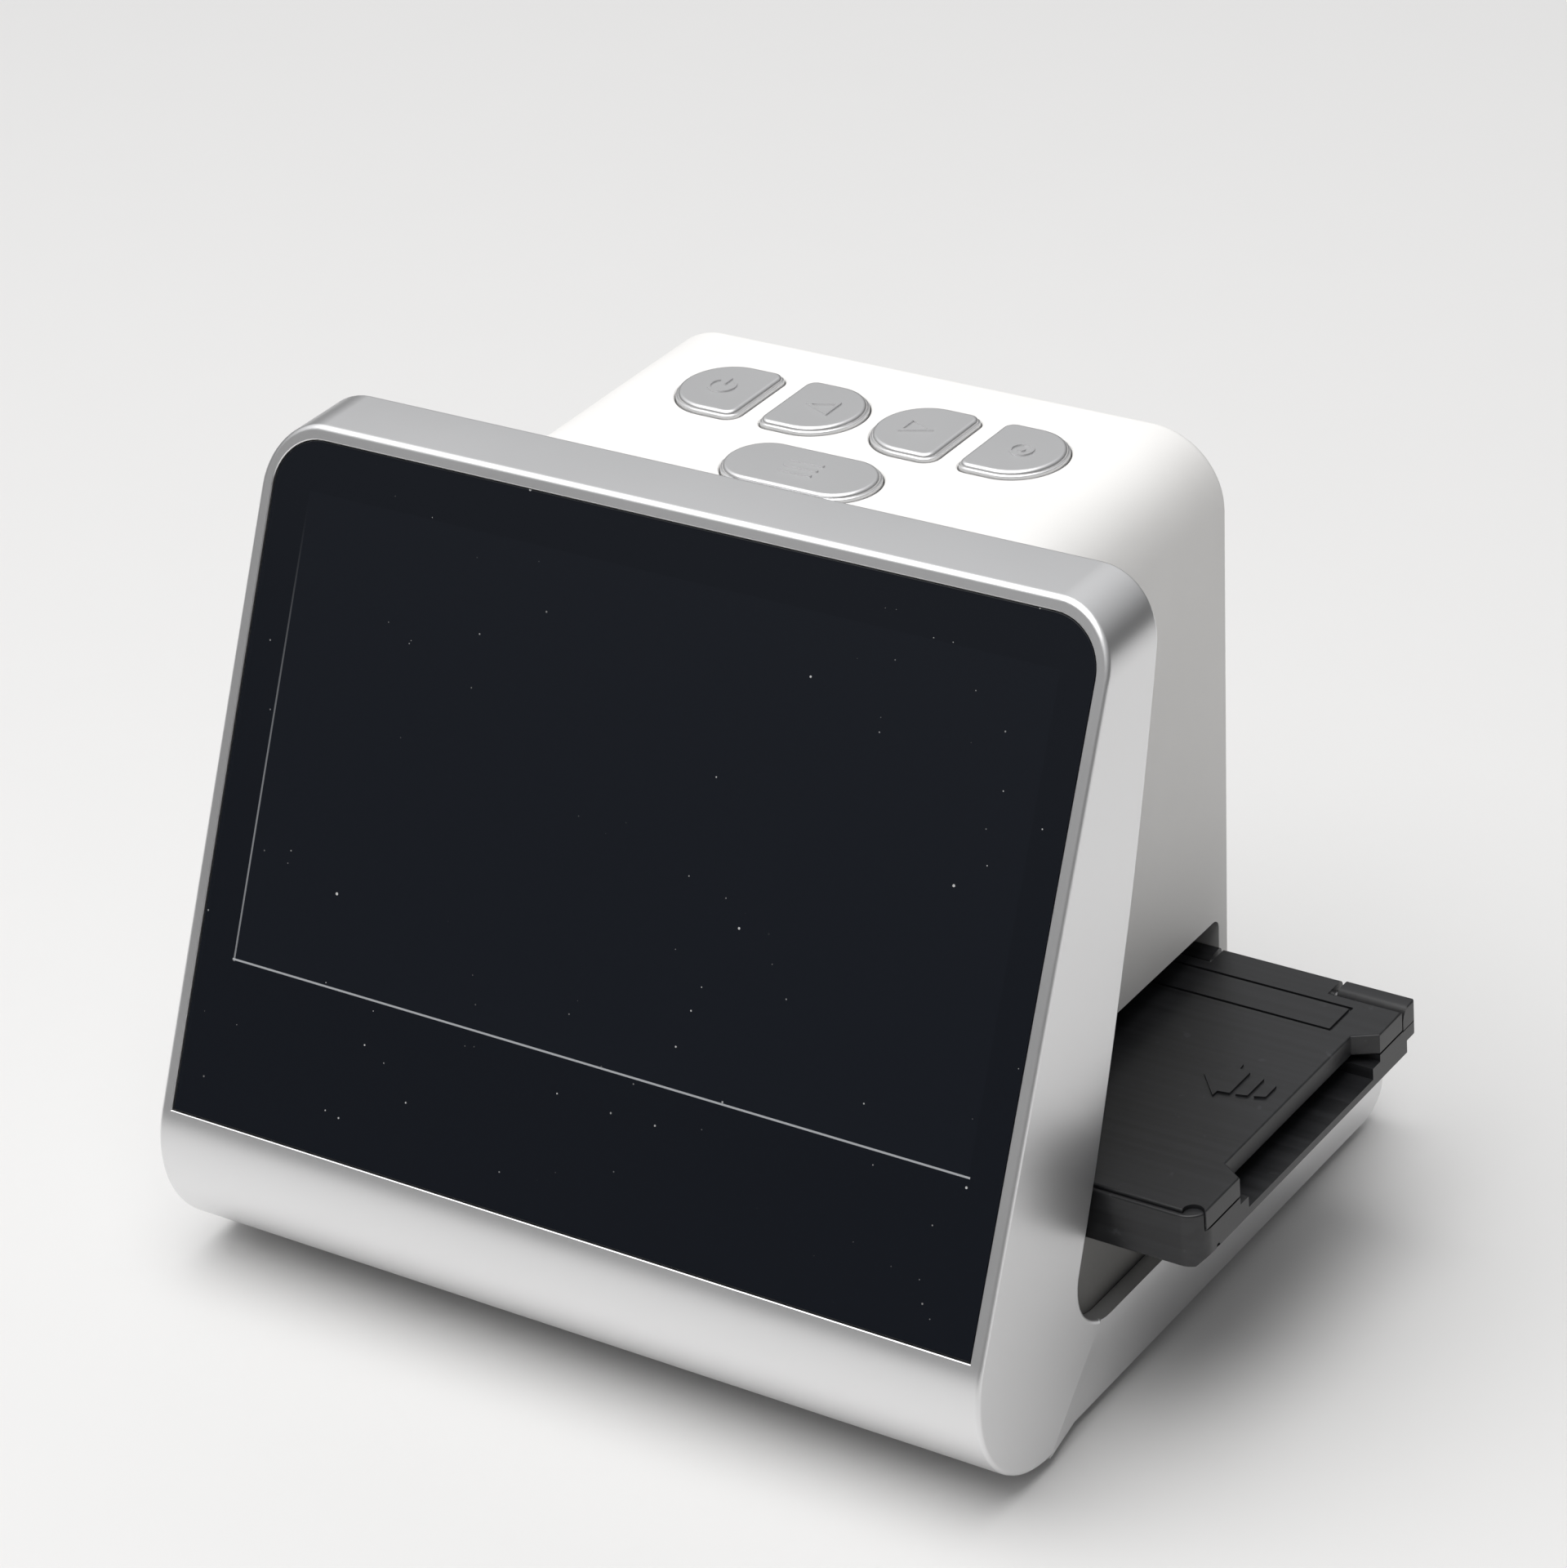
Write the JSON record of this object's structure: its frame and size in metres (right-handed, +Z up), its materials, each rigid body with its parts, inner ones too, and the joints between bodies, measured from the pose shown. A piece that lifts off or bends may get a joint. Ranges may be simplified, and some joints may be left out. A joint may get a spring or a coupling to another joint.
{
  "type": "film negative scanner",
  "caption": "Desktop film scanner: leaning screen on a V-shaped stand, camera tower over a light box, push buttons, and a hinged film holder that slides through the slot.",
  "frame": {"origin": "on the table under the middle of the overall box, between the feet", "axes": "+Z up, +X to the user's right and along the film holder's travel, -Y towards the user and the screen"},
  "size_m": [0.1422, 0.104, 0.108],
  "materials": {
    "silver_shell": "fine metallic silver lacquer on moulded plastic, satin",
    "button_silver": "fine metallic silver lacquer, satin, with polished bevels",
    "white_shell": "white moulded ABS, very fine matt texture",
    "grey_shell": "dark grey moulded ABS, very fine matt texture",
    "white_board": "white solder mask",
    "front_glass": "black back-printed cover glass, glossy",
    "display": "display panel, switched off",
    "black_plastic": "black moulded plastic, matt",
    "holder_plastic": "black moulded ABS, satin, faintly brushed",
    "rubber_feet": "black silicone rubber",
    "lens": "coated lens glass",
    "opal": "opal acrylic",
    "circuit_board": "green solder mask on glass epoxy",
    "chips": "black moulded epoxy",
    "leds": "phosphor-filled silicone",
    "flex_film": "amber polyimide film",
    "steel": "zinc-plated or stainless steel"
  },
  "bodies": {
    "body": {"stand_front": "silver_shell", "base_tub": "silver_shell", "leg_cover": "silver_shell", "leg_cover_screws": "steel", "base_plate": "silver_shell", "base_plate_screws": "steel", "rubber_feet": "rubber_feet", "front_glass": "front_glass", "glass_tape": "black_plastic", "display_panel": "display", "display_bracket": "steel", "bracket_screws": "steel", "display_board": "circuit_board", "display_flex": "flex_film", "tower_shell": "white_shell", "tower_floor": "black_plastic", "tower_screws": "steel", "floor_screws": "steel", "light_box": "grey_shell", "opal_window": "opal", "light_reflector": "white_shell", "light_board": "white_board", "light_leds": "leds", "light_board_screws": "steel", "main_board": "circuit_board", "main_chips": "chips", "main_board_screws": "steel", "usb_socket": "steel", "video_socket": "steel", "card_socket": "steel", "board_cable": "flex_film", "button_board": "circuit_board", "button_board_screws": "steel", "button_switches": "chips", "button_cable": "flex_film", "camera_plate": "black_plastic", "lens_barrel": "black_plastic", "lens_glass": "lens", "light_hood": "black_plastic", "sensor_board": "circuit_board", "image_sensor": "steel", "camera_cable": "flex_film", "slide_rail": "black_plastic", "detent_spring": "steel"},
    "holder": {"holder_tray": "holder_plastic", "hinge_pins": "steel", "tray_magnets": "steel"},
    "lid": {"holder_lid": "holder_plastic", "lid_magnets": "steel"},
    "power_button": {"power_button": "button_silver"},
    "back_button": {"back_button": "button_silver"},
    "forward_button": {"forward_button": "button_silver"},
    "confirm_button": {"confirm_button": "button_silver"},
    "menu_button": {"menu_button": "button_silver"}
  },
  "joints": [
    {"name": "holder_slide", "type": "slide", "parent": "body", "child": "holder", "axis": [1, 0, 0], "range_m": [-0.055, 0.085]},
    {"name": "lid_hinge", "type": "hinge", "parent": "holder", "child": "lid", "pos_m": [0.0011, 0.03267, 0.0313], "axis": [-1, 0, 0], "range_deg": [0, 3]},
    {"name": "power_button_press", "type": "slide", "parent": "body", "child": "power_button", "axis": [0, 0, -1], "range_m": [0, 0.0005], "stiffness_N_per_m": 800, "springref_m": -0.0005},
    {"name": "back_button_press", "type": "slide", "parent": "body", "child": "back_button", "axis": [0, 0, -1], "range_m": [0, 0.0005], "stiffness_N_per_m": 800, "springref_m": -0.0005},
    {"name": "forward_button_press", "type": "slide", "parent": "body", "child": "forward_button", "axis": [0, 0, -1], "range_m": [0, 0.0005], "stiffness_N_per_m": 800, "springref_m": -0.0005},
    {"name": "confirm_button_press", "type": "slide", "parent": "body", "child": "confirm_button", "axis": [0, 0, -1], "range_m": [0, 0.0005], "stiffness_N_per_m": 800, "springref_m": -0.0005},
    {"name": "menu_button_press", "type": "slide", "parent": "body", "child": "menu_button", "axis": [0, 0, -1], "range_m": [0, 0.0005], "stiffness_N_per_m": 800, "springref_m": -0.0005}
  ]
}
